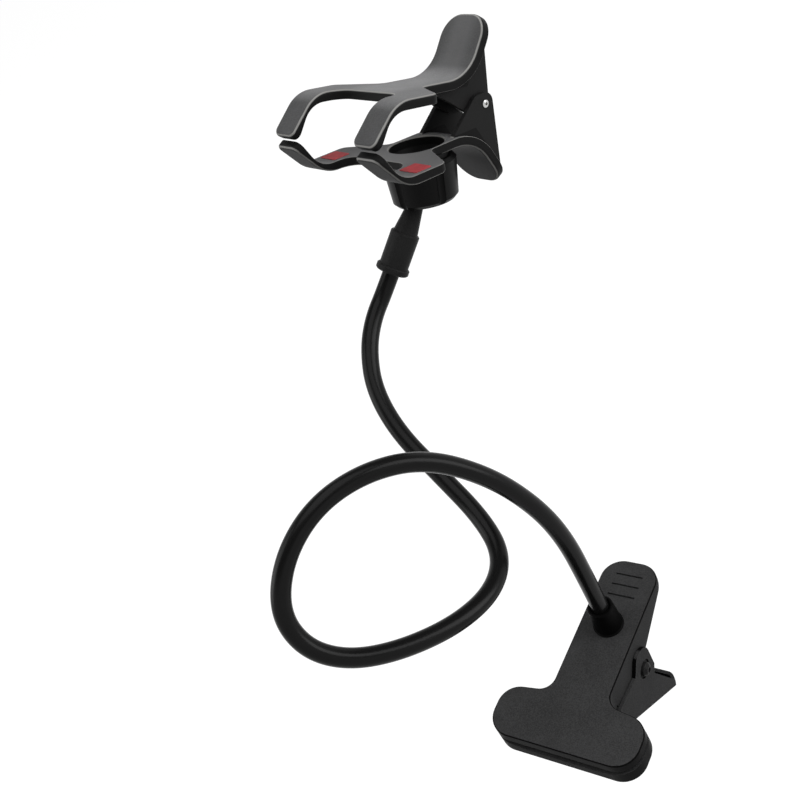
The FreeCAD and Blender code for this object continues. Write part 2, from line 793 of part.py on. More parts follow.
def neck():
    """Flanged sleeve on the arm's end and the ball stem that screws into it."""
    bore = "arm_diameter / 2 + swivel_slack"
    sleeve = turned("sleeve", [
        (bore, "0"),
        ("flange_radius - edge_break", "0"),
        ("flange_radius", "edge_break"),
        ("flange_radius", "flange_thick - edge_break"),
        ("flange_radius - edge_break", "flange_thick"),
        ("sleeve_radius", "flange_thick"),
        ("sleeve_radius", "sleeve_length - edge_break"),
        ("sleeve_radius - edge_break", "sleeve_length"),
        (bore, "sleeve_length"),
    ])
    node("neck_sleeve", sleeve, NECK.copy())
    foot = "arm_insert + collar_thick + arm_slack"
    stud_bore = "stud_radius + swivel_slack"
    under_ball = "ball_reach - sqrt(ball_radius * ball_radius - stem_neck * stem_neck)"
    stem = turned("stem", [
        (stud_bore, foot),
        ("arm_diameter / 2", foot),
        ("arm_diameter / 2", "sleeve_length"),
        ("stem_foot", "sleeve_length"),
        ("stem_neck", f"{under_ball} - stem_land"),
        ("stem_neck", f"{under_ball} + {OVERRUN}"),
        ("0", f"{under_ball} + {OVERRUN}"),
        ("0", f"{foot} + stud_length + stud_radius / 2"),
        (stud_bore, f"{foot} + stud_length"),
    ])
    ball = doc.addObject("Part::Sphere", "ball")
    bind(ball, Radius="ball_radius")
    ball.Placement = Placement(Vector(0, 0, size("ball_reach")), Rotation())
    node("ball_stem", joined("ball_and_stem", [stem, ball]), NECK.copy())


def lock_knob():
    """Lobed nut that squeezes the clip's collet on the ball."""
    bore = "collet_radius + joint_gap"
    solid = turned("knob", [
        (bore, "-knob_top"),
        ("knob_radius - knob_edge", "-knob_top"),
        ("knob_radius", "-knob_top - knob_edge"),
        ("knob_foot", "knob_edge - knob_base"),
        ("knob_foot - knob_edge", "-knob_base"),
        ("knob_mouth", "-knob_base"),
        ("knob_mouth", "-collet_length"),
        (bore, "-collet_taper"),
    ])
    top = Vector(size("knob_radius + lobe_radius - lobe_depth"), 0, -size("knob_top"))
    foot = Vector(size("knob_foot + lobe_radius - lobe_depth"), 0, -size("knob_base"))
    lean = Rotation(Vector(0, 0, 1), top - foot)
    overrun = (top - foot).normalize() * size("lobe_radius")
    tools = []
    for index in range(int(size("lobe_count"))):
        angle = size("lobe_start") + 360 / size("lobe_count") * index
        turn = Placement(Vector(), Rotation(Vector(0, 0, 1), angle))
        place = turn.multiply(Placement(foot - overrun, lean))
        length = "knob_base - knob_top + 2.5 * lobe_radius"
        tools.append(drum(f"flute_{index + 1}", "lobe_radius", length, place))
    node("lock_knob", less("knob_fluted", solid, tools), CLIP.copy())


# Side view of a clip half: hooked fingers, a flat plate and a paddle that bends away.
HOOK = "(hook_angle * 1 deg)"
PADDLE = "(paddle_angle * 1 deg)"
TIP_DEPTH = f"(-hook_knee - hook_rise / tan({HOOK}))"
END_DEPTH = f"(paddle_knee + paddle_run * cos({PADDLE}))"
END_HEIGHT = f"(-paddle_run * sin({PADDLE}))"
OUTER_END = (f"{END_DEPTH} - plate_thick * sin({PADDLE})", f"{END_HEIGHT} - plate_thick * cos({PADDLE})")
OUTER_TIP = (f"{TIP_DEPTH} - plate_thick * sin({HOOK})", f"hook_rise - plate_thick * cos({HOOK})")
OUTER_PADDLE_KNEE = f"paddle_knee - plate_thick * tan({PADDLE} / 2)"
OUTER_HOOK_KNEE = f"plate_thick * tan({HOOK} / 2) - hook_knee"


def clip_blank(name):
    """Bent fork of a clip half, inner face up."""
    strip = prism(f"{name}_strip", SIDE, [
        (TIP_DEPTH, "hook_rise"),
        ("-hook_knee", "0"),
        ("paddle_knee", "0"),
        (END_DEPTH, END_HEIGHT),
        OUTER_END,
        (OUTER_PADDLE_KNEE, "-plate_thick"),
        (OUTER_HOOK_KNEE, "-plate_thick"),
        OUTER_TIP,
    ], "2 * finger_outer", "2 * finger_outer")
    strip = rounded(f"{name}_bent", strip, [
        (along_x(-size("hook_knee"), 0), size("hook_bend")),
        (along_x(size(OUTER_HOOK_KNEE), -size("plate_thick")), size("hook_bend + plate_thick")),
        (along_x(size("paddle_knee"), 0), size("paddle_bend")),
        (along_x(size(OUTER_PADDLE_KNEE), -size("plate_thick")), size("paddle_bend - plate_thick")),
    ])
    half = [
        ("finger_inner", "-crotch_place"),
        ("finger_inner", "-3 * hook_knee"),
        ("finger_outer", "-3 * hook_knee"),
        ("finger_outer", "-shoulder_place"),
        ("paddle_half", "-neck_place"),
        ("paddle_half", "3 * paddle_knee"),
    ]
    left = [(f"-({across})", depth) for across, depth in reversed(half)]
    plan = prism(f"{name}_plan", Rotation(), half + left, "2 * paddle_run", "2 * paddle_run")
    plan = rounded(f"{name}_plan_rounded", plan, mirrored_picks([
        (*half[0], "crotch_round"),
        (*half[3], "shoulder_round"),
        (*half[4], "shoulder_round"),
    ]))
    fork = shared(f"{name}_fork", strip, plan)

    def crosses_plate(across, inner, outer):
        """Test for the short edge through the plate's thickness at a corner."""
        ends = [Vector(side * size(across), size(depth), size(height))
                for side in SIDES.values() for depth, height in (inner, outer)]

        def test(edge):
            return (edge.Length < size("plate_thick") + NEAR
                    and all(any((v.Point - end).Length < NEAR for end in ends) for v in edge.Vertexes))
        return test

    inner_tip = (TIP_DEPTH, "hook_rise")
    inner_end = (END_DEPTH, END_HEIGHT)
    blank = rounded(f"{name}_blank", fork, [
        (crosses_plate("paddle_half", inner_end, OUTER_END), size("paddle_round")),
        (crosses_plate("finger_inner", inner_tip, OUTER_TIP), size("tip_round")),
        (crosses_plate("finger_outer", inner_tip, OUTER_TIP), size("tip_round")),
    ])
    return rounded(f"{name}_softened", blank, [
        (plate_rim(blank.Shape, -1), size("outer_rim")),
        (plate_rim(blank.Shape, 1), size("inner_rim")),
    ])


def cheeks(name, outer_face, front):
    """Pair of hinge cheeks that stand on the inner face and round over the pivot."""
    sunk = "(plate_thick / 2)"
    across_paddle = (f"{sunk} * sin({PADDLE})", f"{sunk} * cos({PADDLE})")
    bend_half = f"(paddle_bend * tan({PADDLE} / 2))"
    bend_start = f"(paddle_knee - {bend_half})"
    bend_middle = (
        f"{bend_start} + (paddle_bend - {sunk}) * sin({PADDLE} / 2)",
        f"(paddle_bend - {sunk}) * cos({PADDLE} / 2) - paddle_bend")
    bend_end = (f"paddle_knee + {bend_half} * cos({PADDLE})", f"-{bend_half} * sin({PADDLE})")
    foot = (f"paddle_knee + cheek_run * cos({PADDLE})", f"-cheek_run * sin({PADDLE})")
    top = "pivot_rise + cheek_radius"
    pair = []
    for hand, side in SIDES.items():
        cheek = prism(f"{name}_cheek_{hand}", SIDE, [
            (front, f"-{sunk}"),
            (bend_start, f"-{sunk}"),
            bend_middle,
            (f"{bend_end[0]} - {across_paddle[0]}", f"{bend_end[1]} - {across_paddle[1]}"),
            (f"{foot[0]} - {across_paddle[0]}", f"{foot[1]} - {across_paddle[1]}"),
            foot,
            ("clip_pivot + cheek_radius", top),
            ("clip_pivot - cheek_radius", top),
        ], "cheek_wall", "0")
        round_over = size("cheek_radius - cheek_flat / 2")
        cheek = rounded(f"{name}_cheek_rounded_{hand}", cheek, [
            (along_x(size("clip_pivot + cheek_radius"), size(top)), round_over),
            (along_x(size("clip_pivot - cheek_radius"), size(top)), round_over),
        ])
        inner = size(outer_face) - size("cheek_wall")
        cheek.Placement = Placement(Vector(inner if side > 0 else -size(outer_face), 0, 0), Rotation())
        pair.append(cheek)
    return pair


def grip_blocks(name, height, start):
    """Rounded blocks at the two grip pads' places, from a start level."""
    blocks = []
    for hand, side in SIDES.items():
        across = side * size("(finger_inner + finger_outer) / 2")
        corner = Vector(across - size("grip_width / 2"), -size("grip_place + grip_length / 2"), start)
        raw = block(f"{name}_block_{hand}", "grip_width", "grip_length", height, corner)
        doc.recompute()
        blocks.append(rounded(f"{name}_rounded_{hand}", raw, [(upright, size("grip_round"))]))
    return blocks


def axle_hole(name, slack):
    """Crosswise drum at the clip's pivot."""
    start = Vector(-size("finger_outer"), size("clip_pivot"), size("pivot_rise"))
    place = Placement(start, ACROSS)
    return drum(name, f"axle_radius + {slack}", "2 * finger_outer", place)


def clip_halves():
    """Lower half with the ring and the collet, upper half turned over on the same pivot."""
    lower = clip_blank("lower_clip")
    collet = turned("collet", [
        ("0", "-plate_thick / 2"),
        ("collet_radius", "-plate_thick / 2"),
        ("collet_radius", "-collet_taper"),
        ("collet_lip", "-collet_length"),
        ("0", "-collet_length"),
    ])
    pair = cheeks("lower_clip", "cheek_half", "cheek_front")
    lower = joined("lower_clip_solid", [lower, collet] + pair)
    seat = doc.addObject("Part::Sphere", "ball_seat")
    bind(seat, Radius="ball_radius + joint_gap")
    seat.Placement = Placement(Vector(0, 0, -size("ball_drop")), Rotation())
    ring = turned("ring_hole", [
        ("0", OVERRUN),
        (f"ring_edge + {OVERRUN}", OVERRUN),
        ("ring_edge", "0"),
        ("ring_radius", "ring_radius - ring_edge"),
        ("ring_radius", "-ring_depth"),
        ("ball_radius * cos(30 deg)", "ball_radius * sin(30 deg) - ball_drop"),
        ("0", "ball_radius * sin(30 deg) - ball_drop"),
    ])
    tools = [seat, ring, axle_hole("lower_axle_hole", "pin_slack / 2")]
    for index in (0, 1):
        slot = block(f"collet_slot_{index + 1}", "slot_width", "4 * collet_radius", "collet_length", Vector())
        turn = Placement(Vector(), Rotation(Vector(0, 0, 1), 45 + 90 * index))
        foot = -size("slot_top + collet_length")
        corner = Vector(-size("slot_width / 2"), -size("2 * collet_radius"), foot)
        slot.Placement = turn.multiply(Placement(corner, Rotation()))
        tools.append(slot)
    tools += grip_blocks("lower_grip_recess", "2 * grip_thick", -size("grip_sink"))
    node("lower_clip", less("lower_clip_cut", lower, tools), CLIP.copy())

    pair = cheeks("upper_clip", "cheek_half - cheek_wall - cheek_gap", "web_front")
    upper = joined("upper_clip_solid", [clip_blank("upper_clip")] + pair)
    tools = [axle_hole("upper_axle_hole", "pin_slack")]
    tools += grip_blocks("upper_grip_recess", "2 * grip_thick", -size("grip_sink"))
    turned_over = upper_place()
    node("upper_clip", less("upper_clip_cut", upper, tools), turned_over)

    for half, place in (("lower", CLIP), ("upper", turned_over)):
        pads = grip_blocks(f"{half}_grip", "grip_thick", -size("grip_sink"))
        for side, pad in zip(("right", "left"), pads):
            node(f"{half}_grip_{side}", pad, place.copy())


def closed_angle():
    """Angle between the two plates at which the hooks' tips meet with the tip gap."""
    drop = size("hook_rise - pivot_rise")
    reach = size(f"clip_pivot - {TIP_DEPTH}")
    return 2 * math.degrees(math.atan2(drop, reach)) + math.degrees(size("tip_gap") / reach)


def upper_place():
    """Clip's upper half: turned over about the pivot's height, then opened until the tips meet."""
    pivot = Vector(0, size("clip_pivot"), size("pivot_rise"))
    over = Placement(Vector(0, 0, 2 * pivot.z), Rotation(Vector(0, 1, 0), 180))
    opened = Placement(Vector(), Rotation(Vector(1, 0, 0), -closed_angle()), pivot)
    return CLIP.multiply(opened).multiply(over)


def clip_hinge():
    """Axle rivet and closing spring of the clip."""
    centre = CLIP.multiply(Placement(Vector(0, size("clip_pivot"), size("pivot_rise")), Rotation()))
    place = centre.multiply(Placement(Vector(), ACROSS))
    rivet("clip_axle", "axle_radius", "axle_head", "(cheek_half + pin_slack)", "axle_proud", place)
    slope = math.radians(size("paddle_angle"))
    to_paddle = (
        size("clip_pivot - paddle_knee") * math.sin(slope) + size("pivot_rise") * math.cos(slope))
    legs = (
        (size("paddle_angle") - closed_angle(), to_paddle),
        (-size("paddle_angle"), to_paddle),
    )
    turns = int(size("clip_turns"))
    torsion_spring("clip_spring", size("clip_coil"), size("clip_wire"), turns, legs, centre)


clamp_upper_jaw()
clamp_lower_jaw()
clamp_pads()
clamp_hinge()
arm()
neck()
lock_knob()
clip_halves()
clip_hinge()
doc.recompute()

faulty = [item.Name for item in doc.Objects if {"Invalid", "Error"} & set(item.State)]
faulty += [item.Label for item in nodes if item.Shape.isNull() or not item.Shape.isValid()]
if faulty:
    raise RuntimeError(f"these objects failed: {faulty}")
os.makedirs("parts", exist_ok=True)
for item in nodes:
    item.Shape.exportStep(f"parts/{item.Label}.step")
    print(f"{item.Label}: {len(item.Shape.Solids)} solid, {item.Shape.Volume:.0f} mm3")
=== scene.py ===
# %% [markdown]
# A gooseneck tablet holder: a spring clamp for a table's edge, a bendable arm that makes one loose loop,
# and a spring clip with forked, hooked fingers on a ball joint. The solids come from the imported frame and
# stay where they are. This lesson gives each of them its finish, and draws the arm and the springs anew.

# %% Frame
import json
import math
import bpy
from mathutils import Matrix, Quaternion, Vector


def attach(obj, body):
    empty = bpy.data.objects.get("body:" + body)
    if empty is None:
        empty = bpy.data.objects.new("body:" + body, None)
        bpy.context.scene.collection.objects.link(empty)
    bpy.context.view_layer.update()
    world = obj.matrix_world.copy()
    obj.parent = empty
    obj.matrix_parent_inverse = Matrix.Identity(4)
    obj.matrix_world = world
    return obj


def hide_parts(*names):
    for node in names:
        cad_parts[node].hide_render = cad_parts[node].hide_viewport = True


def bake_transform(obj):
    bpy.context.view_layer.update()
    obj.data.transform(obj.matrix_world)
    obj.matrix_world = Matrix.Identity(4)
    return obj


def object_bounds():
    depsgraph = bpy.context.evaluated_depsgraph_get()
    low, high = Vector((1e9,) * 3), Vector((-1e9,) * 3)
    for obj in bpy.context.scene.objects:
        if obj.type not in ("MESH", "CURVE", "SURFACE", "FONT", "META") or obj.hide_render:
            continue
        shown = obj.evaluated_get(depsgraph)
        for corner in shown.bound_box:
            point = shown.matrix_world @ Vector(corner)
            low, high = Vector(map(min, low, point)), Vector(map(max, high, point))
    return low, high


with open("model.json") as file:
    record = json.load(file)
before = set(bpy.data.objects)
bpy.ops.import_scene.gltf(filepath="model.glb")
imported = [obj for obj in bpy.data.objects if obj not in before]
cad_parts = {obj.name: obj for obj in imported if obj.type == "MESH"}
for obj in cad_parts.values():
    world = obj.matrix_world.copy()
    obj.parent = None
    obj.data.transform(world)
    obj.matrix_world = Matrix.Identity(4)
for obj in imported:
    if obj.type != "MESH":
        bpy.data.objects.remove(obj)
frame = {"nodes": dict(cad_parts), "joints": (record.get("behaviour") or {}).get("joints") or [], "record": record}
CAD_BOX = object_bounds()
MM = 0.001
JOINTS = {joint["name"]: joint for joint in frame["joints"]}

# %% [markdown]
# The camera stands high on the right of the clamp's mouth and leans, so that upright lines run to the
# upper left. A place, two angles and a roll say that better than a matrix of numbers.

# %% Camera
CAMERA_PLACE = Vector((0.2557, -0.2119, 0.5233))
CAMERA_AZIMUTH = math.radians(49.09)
CAMERA_ELEVATION = math.radians(40.42)
CAMERA_ROLL = math.radians(29.8)
CAMERA_NEAREST = 0.01
PICTURE_SIDE = 800
FOCAL_PIXELS = 1195.7
SENSOR_WIDTH = 36.0


def aim_camera():
    back = Vector((
        math.sin(CAMERA_AZIMUTH) * math.cos(CAMERA_ELEVATION),
        -math.cos(CAMERA_AZIMUTH) * math.cos(CAMERA_ELEVATION),
        math.sin(CAMERA_ELEVATION),
    ))
    turn = (-back).to_track_quat("-Z", "Y") @ Quaternion((0, 0, 1), -CAMERA_ROLL)
    data = bpy.data.cameras.new("studio_camera")
    data.sensor_width = SENSOR_WIDTH
    data.lens = FOCAL_PIXELS / PICTURE_SIDE * SENSOR_WIDTH
    data.clip_start = CAMERA_NEAREST
    camera = bpy.data.objects.new("studio_camera", data)
    camera.matrix_world = Matrix.Translation(CAMERA_PLACE) @ turn.to_matrix().to_4x4()
    bpy.context.scene.collection.objects.link(camera)
    bpy.context.scene.camera = camera
    return camera


print("camera lens", round(aim_camera().data.lens, 1), "mm")

# %% [markdown]
# Shader maths could be wired node by node, but it reads best as plain expressions. This small class wraps
# a socket, so that `1 - mask` adds a Math node. It has the operators that the finishes below use, and no
# more.

# %% Shader values


class Wire:
    """A value that runs from one node to the next."""

    def __init__(self, finish, socket):
        self.finish = finish
        self.socket = socket

    def maths(self, operation, first, second):
        return self.finish.node("ShaderNodeMath", {"operation": operation}, {0: first, 1: second})

    def __add__(self, other):
        return self.maths("ADD", self, other)

    __radd__ = __add__

    def __sub__(self, other):
        return self.maths("SUBTRACT", self, other)

    def __rsub__(self, other):
        return self.maths("SUBTRACT", other, self)

    def __mul__(self, other):
        return self.maths("MULTIPLY", self, other)

    __rmul__ = __mul__

    def largest(self, other):
        return self.maths("MAXIMUM", self, other)

    def smallest(self, other):
        return self.maths("MINIMUM", self, other)

    def root(self):
        return self.maths("SQRT", self, 0.0)

    def size(self):
        return self.maths("ABSOLUTE", self, 0.0)

    def step(self, low, high):
        """Smooth rise from 0 at low to 1 at high."""
        return self.finish.node(
            "ShaderNodeMapRange",
            {"interpolation_type": "SMOOTHSTEP"},
            {"Value": self, "From Min": low, "From Max": high},
        )


print("expressions on a", Wire.__name__, "add Math nodes")

# %% [markdown]
# A finish is a material whose nodes grow with its expressions. One method makes every other kind of node
# from its settings and its inputs, and short methods name the few that come up again: a place, a
# direction, noise, a mix of two colours and a bump. The same class serves the world, whose shader is a
# Background.

# %% Finishes
NOISE_ROUGHNESS = 0.55
NOISE_SPAN = (0.3, 0.7)


class Finish:
    """A material, or the world, whose nodes are added one expression at a time."""

    def __init__(self, owner, **shader_values):
        owner.use_nodes = True
        self.owner = owner
        self.tree = owner.node_tree
        shader = "Background" if isinstance(owner, bpy.types.World) else "Principled BSDF"
        self.shader = self.tree.nodes[shader]
        for name, value in shader_values.items():
            self.set(name.replace("_", " "), value)

    def node(self, kind, settings=None, inputs=None, output=0):
        """Any node: its type, its settings, then the values or links of its sockets."""
        made = self.tree.nodes.new(kind)
        for name, value in (settings or {}).items():
            setattr(made, name, value)
        for name, value in (inputs or {}).items():
            self.feed(made.inputs[name], value)
        return Wire(self, made.outputs[output])

    def feed(self, socket, value):
        if isinstance(value, Wire):
            self.tree.links.new(value.socket, socket)
        elif socket.type == "RGBA":
            socket.default_value = (*value[:3], 1.0)
        else:
            socket.default_value = value

    def set(self, name, value):
        self.feed(self.shader.inputs[name], value)

    def surface(self, shader):
        """Send another shader to the output in place of the first one."""
        output = next(node for node in self.tree.nodes if node.bl_idname.startswith("ShaderNodeOutput"))
        self.feed(output.inputs["Surface"], shader)

    def place(self):
        """Point on the piece in its own frame, which moves with it."""
        return self.node("ShaderNodeTexCoord", output="Object")

    def facing(self):
        """Direction that the surface faces in the piece's own frame."""
        return self.node("ShaderNodeTexCoord", output="Normal")

    def along(self, vector, direction):
        return self.node(
            "ShaderNodeVectorMath", {"operation": "DOT_PRODUCT"}, {0: vector, 1: direction}, "Value")

    def off_axis(self, first, second):
        """Distance from an axis, from the two coordinates across it."""
        return (first * first + second * second).root()

    def noise(self, grain, detail=3.0):
        """Noise from 0 to 1 whose lumps are about grain metres wide."""
        return self.node("ShaderNodeTexNoise", None, {
            "Vector": self.place(), "Scale": 1 / grain, "Detail": detail, "Roughness": NOISE_ROUGHNESS})

    def mix(self, share, first, second):
        """Colour that goes from first to second as share goes from 0 to 1."""
        return self.node(
            "ShaderNodeMix", {"data_type": "RGBA"}, {"Factor": share, 6: first, 7: second}, 2)

    def bump(self, height, depth):
        """Raised texture: height from 0 to 1, depth in metres."""
        normal = self.node("ShaderNodeBump", None, {"Height": height, "Distance": depth, "Strength": 1.0})
        self.set("Normal", normal)


def new_finish(name, **shader_values):
    return Finish(bpy.data.materials.new(name), **shader_values)


def shade(colour, factor):
    return tuple(channel * factor for channel in colour)


def shades(colour, factors):
    return [shade(colour, factor) for factor in factors]


print("a", Finish.__name__, "grows its own nodes")

# %% [markdown]
# Both clamp jaws are charcoal, but the boss is smoother and nearly black. The rim of the head and the rounded
# top edge are smoother too, and painted nearly black as painted shade. Each jaw is one moulding with one
# material, so masks made from the place and the direction of a face pick those parts out.

# %% Black boss and painted shade of the clamp
CLAMP_TOP = 6.8 * MM
BOSS_DEPTH = 57.2 * MM
BOSS_RADIUS = 8.2 * MM
BOSS_RISE = (CLAMP_TOP + 0.1 * MM, CLAMP_TOP + 0.4 * MM)
HEAD_END = 10 * MM
HEAD_FADE = 2 * MM
MASK_FADE = 0.3 * MM
EDGE_LEAN = (0.05, 0.2)
TOP_LEAN = (0.9, 0.98)
WALL_LEAN = (0.15, 0.3)


def boss_and_painted_shade(finish):
    """Mask of the clamp's black boss, and of painted shade on the head rim and the rounded top edge."""
    sideways, depth, level = [finish.along(finish.place(), axis) for axis in Matrix.Identity(3)]
    upward_share = finish.along(finish.facing(), (0, 0, 1))
    # Painted shade: a dark line along the rounded top edge and a dark rim on the head's walls.
    edge = upward_share.step(*EDGE_LEAN) * (1 - upward_share.step(*TOP_LEAN))
    wall = 1 - upward_share.size().step(*WALL_LEAN)
    rim = wall * (1 - depth.step(HEAD_END, HEAD_END + HEAD_FADE))
    from_boss = finish.off_axis(sideways, depth - BOSS_DEPTH)
    boss = (1 - from_boss.step(BOSS_RADIUS, BOSS_RADIUS + MASK_FADE)) * level.step(*BOSS_RISE)
    return edge.largest(rim).largest(boss)


print("dark boss, radius", round(BOSS_RADIUS / MM, 1), "mm; dark rim, first", round(HEAD_END / MM), "mm")

# %% [markdown]
# A spark-eroded tool leaves a fine even grain on moulded plastic. Noise of about half a millimetre makes
# that grain as bump. Its size is in metres, so it doesn't stretch on a larger piece. With a broader
# mottle it also varies the colour and the gloss a little, for the dry look of the jaws. The neck and the
# knob are of a plainer black plastic.

# %% Moulded plastic
CHARCOAL = (0.038, 0.038, 0.0385)
NECK_BLACK = (0.018, 0.018, 0.018)
KNOB_BLACK = (0.003, 0.003, 0.003)
PLASTIC_MOTTLE = 14 * MM
PLASTIC_SPECKLE = (0.72, 1.28)
PLASTIC_GRAIN_SHARE = 0.7
PLASTIC_SPREAD = 0.1
BLACK_AND_SHADED_FACTOR = 0.08
SMOOTH_GLOSS = 0.15


def moulded_plastic(name, colour, roughness, shine, grain, depth, black_and_shaded_parts=None):
    finish = new_finish(name, Specular_IOR_Level=shine)
    fine = finish.noise(grain)
    mottle = finish.noise(PLASTIC_MOTTLE)
    speckle = (PLASTIC_GRAIN_SHARE * fine + (1 - PLASTIC_GRAIN_SHARE) * mottle).step(*NOISE_SPAN)
    base = finish.mix(speckle, *shades(colour, PLASTIC_SPECKLE))
    roughness = roughness - PLASTIC_SPREAD / 2 + PLASTIC_SPREAD * mottle
    if black_and_shaded_parts:
        mask = black_and_shaded_parts(finish)
        # This mask paints near-black: the black boss, and painted shade on the clamp's head rim and top edge.
        base = finish.mix(mask, base, shade(colour, BLACK_AND_SHADED_FACTOR))
        roughness = roughness - SMOOTH_GLOSS * mask
    finish.set("Base Color", base)
    finish.set("Roughness", roughness)
    finish.bump(fine, depth)
    return finish.owner


clamp_plastic = moulded_plastic(
    "charcoal_plastic", CHARCOAL, roughness=0.6, shine=0.02, grain=0.6 * MM, depth=0.04 * MM,
    black_and_shaded_parts=boss_and_painted_shade)
neck_plastic = moulded_plastic(
    "neck_plastic", NECK_BLACK, roughness=0.42, shine=0.05, grain=0.5 * MM, depth=0.015 * MM)
knob_plastic = moulded_plastic(
    "knob_plastic", KNOB_BLACK, roughness=0.38, shine=0.08, grain=0.5 * MM, depth=0.015 * MM)
print("moulded plastics:", clamp_plastic.name, neck_plastic.name, knob_plastic.name)

# %% [markdown]
# Each half of the clip is one bent plate with its own axes: across, rearward and inward. The frame's
# joints give the directions and the pivot, which is safer than typing them again. At rest the two plates
# lie a few degrees apart.

# %% Clip axes
BALL_DROP = 20 * MM
CLIP_PIVOT_DEPTH = 37 * MM
CLIP_PIVOT_RISE = 10 * MM
CLOSED_ANGLE = math.radians(7.64)

upward = Vector(JOINTS["clip_turn"]["axis"])
across = -Vector(JOINTS["clip_jaw"]["axis"])
rearward = upward.cross(across)
ball_centre = Vector(JOINTS["clip_turn"]["pos_m"])
clip_pivot = Vector(JOINTS["clip_jaw"]["pos_m"])


def clip_axes(half):
    """Origin and axes (across, rearward, inward) of a clip half."""
    if half == "lower":
        return ball_centre + upward * BALL_DROP, across, rearward, upward
    opened = Quaternion(across, -CLOSED_ANGLE)
    inward = opened @ -upward
    depth = opened @ rearward
    return clip_pivot - depth * CLIP_PIVOT_DEPTH - inward * CLIP_PIVOT_RISE, -across, depth, inward


print("clip pivot", [round(value / MM, 1) for value in clip_pivot], "mm")

# %% [markdown]
# The plates have a grey soft-touch coat on their broad faces, while the hinge cheeks and the ball socket stay
# black. Their edges are painted black as painted shade, where the faces turn away from the broad face. Each half
# is one moulding, so the coat is a mask too. Going back along the plate, the direction of its broad face leans
# from hook to flat to paddle, and the mask asks how far a face turns from it.

# %% Clip masks
HOOK_START = 34.8 * MM
HOOK_RADIUS = 15.4 * MM
PADDLE_START = 12.7 * MM
PADDLE_RADIUS = 23.6 * MM
PADDLE_KNEE = 28.3 * MM
PADDLE_ANGLE = math.radians(62)
MOST_LEAN = 0.875
CHEEK_HALF = 13.2 * MM
CHEEK_FADE = 0.5 * MM
CHEEK_RISE = (0.3 * MM, 0.6 * MM)
CHEEK_START = (1 * MM, 3 * MM)
SOCKET_RADIUS = 15.2 * MM
SOCKET_DROP = (0.5 * MM, 0.9 * MM)


class ClipSpot:
    """Where a point of a clip half lies and which way it faces, in that half's own axes."""

    def __init__(self, finish, half):
        origin, side, depth, inward = clip_axes(half)
        self.finish = finish
        self.off_paddle = depth * math.sin(PADDLE_ANGLE) + inward * math.cos(PADDLE_ANGLE)
        self.place = finish.node(
            "ShaderNodeVectorMath", {"operation": "SUBTRACT"}, {0: finish.place(), 1: origin})
        self.right = finish.along(self.place, side).size()
        self.back = finish.along(self.place, depth)
        self.height = finish.along(self.place, inward)
        facing = finish.facing()
        self.back_share = finish.along(facing, depth)
        self.inward_share = finish.along(facing, inward)
        self.hook_lean = (-HOOK_START - self.back) * (1 / HOOK_RADIUS)

    def turned(self):
        """Zero on the plate's broad faces, one on a face square to them."""
        paddle_lean = (self.back - PADDLE_START) * (1 / PADDLE_RADIUS)
        lean = paddle_lean.largest(self.hook_lean).largest(0.0).smallest(MOST_LEAN)
        broad = self.back_share * lean + self.inward_share * (1 - lean * lean).root()
        return (1 - broad * broad).largest(0.0).root()

    def cheek(self):
        """Mask of the hinge cheeks, which stand on the plate near its middle."""
        over_paddle = self.finish.along(self.place, self.off_paddle) - PADDLE_KNEE * math.sin(PADDLE_ANGLE)
        stands = self.height.largest(over_paddle).step(*CHEEK_RISE)
        near_middle = 1 - self.right.step(CHEEK_HALF, CHEEK_HALF + CHEEK_FADE)
        return stands * near_middle * self.back.step(*CHEEK_START)

    def socket(self):
        """Mask of the ball socket, which hangs below the ring."""
        radius = self.finish.off_axis(self.right, self.back)
        inside = 1 - radius.step(SOCKET_RADIUS, SOCKET_RADIUS + MASK_FADE)
        return inside * (0 - self.height).step(*SOCKET_DROP)


print("hooks from", round(HOOK_START / MM, 1), "mm, paddles from", round(PADDLE_START / MM, 1), "mm")

# %% [markdown]
# The coat isn't one even grey, because light and shade are painted into it: a painted highlight down the middle
# of the paddles, a paler painted sheen on the flats of the upper half, and on the lower half a painted highlight
# on the inner face and painted shade on the underside. One function for each of these keeps them easy to change.

# %% Greys of the clip
SOFT_GREY = (0.074, 0.074, 0.075)
CLIP_BLACK = (0.007, 0.007, 0.007)
SOFT_SPECKLE = (0.82, 1.18)
PADDLE_HALF = 15.4 * MM
PADDLE_HIGHLIGHT_SHADE = 1.9
PADDLE_HIGHLIGHT_SHARE = 0.5
PADDLE_HIGHLIGHT_SPREAD = (0.2 * PADDLE_HALF, 0.95 * PADDLE_HALF)
PADDLE_HIGHLIGHT_START = (8 * MM, 26 * MM)
INNER_HIGHLIGHT_SHADE = 2.4
INNER_HIGHLIGHT_SHARE = 0.7
INNER_HIGHLIGHT_LEAN = (0.8, 0.95)
UNDERSIDE_SHADE_SHARE = 0.5
UNDERSIDE_SHADE_LEAN = (0.1, 0.4)
HOOK_SHADE_SHARE = 0.3
HOOK_SHADE_LEAN = (0.0, 0.3)
FLAT_SHEEN_SHADES = (2.5, 3.5)
FLAT_SHEEN_SHARE = 0.5
FLAT_LEAN = (0.74, 0.98)
MIDDLE_SHEEN_SHARE = 0.35
MIDDLE_SPREAD = (8 * MM, 24 * MM)


def grey_with_paddle_highlight(spot, speckle):
    grey = spot.finish.mix(speckle, *shades(SOFT_GREY, SOFT_SPECKLE))
    # Painted highlight: paler down the middle of the paddle.
    paddle_highlight = (1 - spot.right.step(*PADDLE_HIGHLIGHT_SPREAD)) * spot.back.step(*PADDLE_HIGHLIGHT_START)
    return spot.finish.mix(PADDLE_HIGHLIGHT_SHARE * paddle_highlight, grey, shade(SOFT_GREY, PADDLE_HIGHLIGHT_SHADE))


